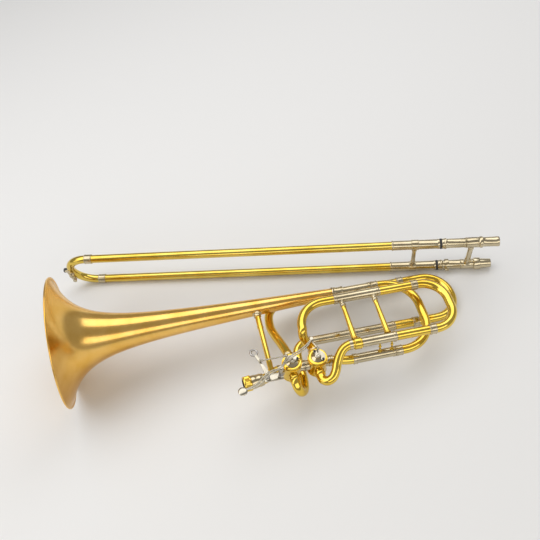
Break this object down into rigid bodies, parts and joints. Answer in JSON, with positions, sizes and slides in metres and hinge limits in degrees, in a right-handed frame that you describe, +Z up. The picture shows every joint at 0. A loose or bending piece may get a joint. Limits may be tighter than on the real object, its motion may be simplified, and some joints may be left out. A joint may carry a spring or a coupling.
{
  "type": "trombone",
  "caption": "Bass trombone taken apart: a bell section with in-line rotary valves, thumb levers and tuning slides, beside its telescoping hand slide.",
  "frame": {"origin": "middle of the whole object's footprint, at floor height", "axes": "+X from the bell's mouth towards the tuning bows, +Z up"},
  "size_m": [0.85, 0.4288, 0.2398],
  "materials": {
    "rose_brass": "polished, clear lacquer",
    "brass_lacquer": "polished, clear lacquer",
    "nickel_silver": "polished nickel silver",
    "chromed_tube": "polished",
    "black_rubber": "matte",
    "cork": "natural cork"
  },
  "bodies": {
    "hand_slide_inner": {"inner_slide_tube_upper": "chromed_tube", "inner_slide_tube_lower": "chromed_tube", "slide_cork_upper": "black_rubber", "slide_cork_lower": "black_rubber", "cork_barrel_upper": "nickel_silver", "cork_barrel_lower": "nickel_silver", "inner_slide_brace": "nickel_silver", "mouthpiece_receiver": "nickel_silver", "slide_tenon": "nickel_silver"},
    "hand_slide_outer": {"outer_slide_tube_upper": "brass_lacquer", "outer_slide_tube_lower": "brass_lacquer", "slide_sleeve_upper": "nickel_silver", "slide_sleeve_lower": "nickel_silver", "crook_ferrule_upper": "nickel_silver", "crook_ferrule_lower": "nickel_silver", "slide_crook": "brass_lacquer", "outer_slide_brace": "nickel_silver", "crook_bumper": "black_rubber", "water_key_saddle": "nickel_silver"},
    "water_key": {"water_key_lever": "nickel_silver", "water_key_cork": "cork"},
    "slide_lock": {"slide_lock_ring": "nickel_silver"},
    "bell_section": {"bell": "rose_brass", "bell_rim": "brass_lacquer", "bell_ferrule": "nickel_silver", "main_sleeve_upper": "nickel_silver", "main_sleeve_lower": "nickel_silver", "gooseneck": "brass_lacquer", "valve_outlet_pipe": "brass_lacquer", "slide_receiver": "brass_lacquer", "bell_brace": "brass_lacquer", "f_valve_casing": "brass_lacquer", "g_valve_casing": "brass_lacquer", "f_valve_cap": "brass_lacquer", "g_valve_cap": "brass_lacquer", "lever_saddle": "nickel_silver", "g_loop_bow": "brass_lacquer", "g_loop_return": "brass_lacquer", "g_sleeve_upper": "nickel_silver", "g_sleeve_lower": "nickel_silver", "g_brace_left": "nickel_silver", "g_brace_right": "nickel_silver", "f_loop_lower": "brass_lacquer", "f_loop_upper": "brass_lacquer", "f_sleeve_upper": "nickel_silver", "f_sleeve_lower": "nickel_silver", "f_brace": "nickel_silver"},
    "main_bow": {"main_tuning_slide": "brass_lacquer"},
    "g_bow": {"g_tuning_slide": "brass_lacquer"},
    "f_bow": {"f_tuning_slide": "brass_lacquer"},
    "nut": {"receiver_nut": "brass_lacquer"},
    "f_rotor": {"f_valve_rotor": "nickel_silver", "f_stop_arm": "nickel_silver"},
    "g_rotor": {"g_valve_rotor": "nickel_silver", "g_stop_arm": "nickel_silver"},
    "f_lever_body": {"f_thumb_lever": "nickel_silver"},
    "g_lever_body": {"g_thumb_lever": "nickel_silver"},
    "f_rod_body": {"f_link_rod": "nickel_silver"},
    "g_rod_body": {"g_link_rod": "nickel_silver"}
  },
  "joints": [
    {"name": "outer_slide", "type": "slide", "parent": "hand_slide_inner", "child": "hand_slide_outer", "axis": [-0.9678, 0.2516, -0.0034], "range_m": [0, 0.6]},
    {"name": "water_key", "type": "hinge", "parent": "hand_slide_outer", "child": "water_key", "pos_m": [-0.40523, 0.18949, 0.04999], "axis": [-0.9678, 0.2516, -0.0034], "range_deg": [0, 12], "stiffness_Nm_per_rad": 0.05, "springref_deg": -17.19},
    {"name": "slide_lock", "type": "hinge", "parent": "hand_slide_inner", "child": "slide_lock", "pos_m": [0.33639, 0.01989, 0.01181], "axis": [-0.9678, 0.2516, -0.0034], "range_deg": [0, 35]},
    {"name": "bell_section_lift", "type": "slide", "parent": "hand_slide_inner", "child": "bell_section", "axis": [0, -0.342, 0.9397], "range_m": [0, 0.3]},
    {"name": "main_tuning", "type": "slide", "parent": "bell_section", "child": "main_bow", "axis": [0.9939, 0, -0.1104], "range_m": [0, 0.04]},
    {"name": "g_tuning", "type": "slide", "parent": "bell_section", "child": "g_bow", "axis": [0.9939, 0, -0.1104], "range_m": [0, 0.045]},
    {"name": "f_tuning", "type": "slide", "parent": "bell_section", "child": "f_bow", "axis": [0.9939, 0, -0.1104], "range_m": [0, 0.036]},
    {"name": "nut_turn", "type": "hinge", "parent": "bell_section", "child": "nut", "pos_m": [-0.09899, -0.17421, 0.08535], "axis": [0.9884, 0.1045, -0.1098], "continuous": true},
    {"name": "f_lever", "type": "hinge", "parent": "bell_section", "child": "f_lever_body", "pos_m": [-0.0616, -0.17738, 0.10636], "axis": [-0.1104, 0, -0.9939], "range_deg": [0, 34.81], "stiffness_Nm_per_rad": 0.3, "springref_deg": -17.19},
    {"name": "f_valve", "type": "hinge", "parent": "bell_section", "child": "f_rotor", "pos_m": [-0.01765, -0.16038, 0.07632], "axis": [-0.1104, 0, -0.9939], "range_deg": [0, 90.02]},
    {"name": "f_link", "type": "hinge", "parent": "f_lever_body", "child": "f_rod_body", "pos_m": [-0.06861, -0.15257, 0.11367], "axis": [-0.1104, 0, -0.9939], "range_deg": [-34.82, 0]},
    {"name": "g_lever", "type": "hinge", "parent": "bell_section", "child": "g_lever_body", "pos_m": [-0.03775, -0.17738, 0.10371], "axis": [-0.1104, 0, -0.9939], "range_deg": [0, 11.16], "stiffness_Nm_per_rad": 0.3, "springref_deg": -17.19},
    {"name": "g_valve", "type": "hinge", "parent": "bell_section", "child": "g_rotor", "pos_m": [0.02837, -0.16038, 0.07121], "axis": [-0.1104, 0, -0.9939], "range_deg": [0, 90.02]},
    {"name": "g_link", "type": "hinge", "parent": "g_lever_body", "child": "g_rod_body", "pos_m": [0.02764, -0.13083, 0.10298], "axis": [-0.1104, 0, -0.9939], "range_deg": [-11.17, 0]}
  ],
  "couplings": [
    {"joint": "f_valve", "follows": "f_lever", "ratio": 2.5855},
    {"joint": "f_link", "follows": "f_lever", "ratio": -1},
    {"joint": "g_valve", "follows": "g_lever", "ratio": 8.0645},
    {"joint": "g_link", "follows": "g_lever", "ratio": -1}
  ]
}
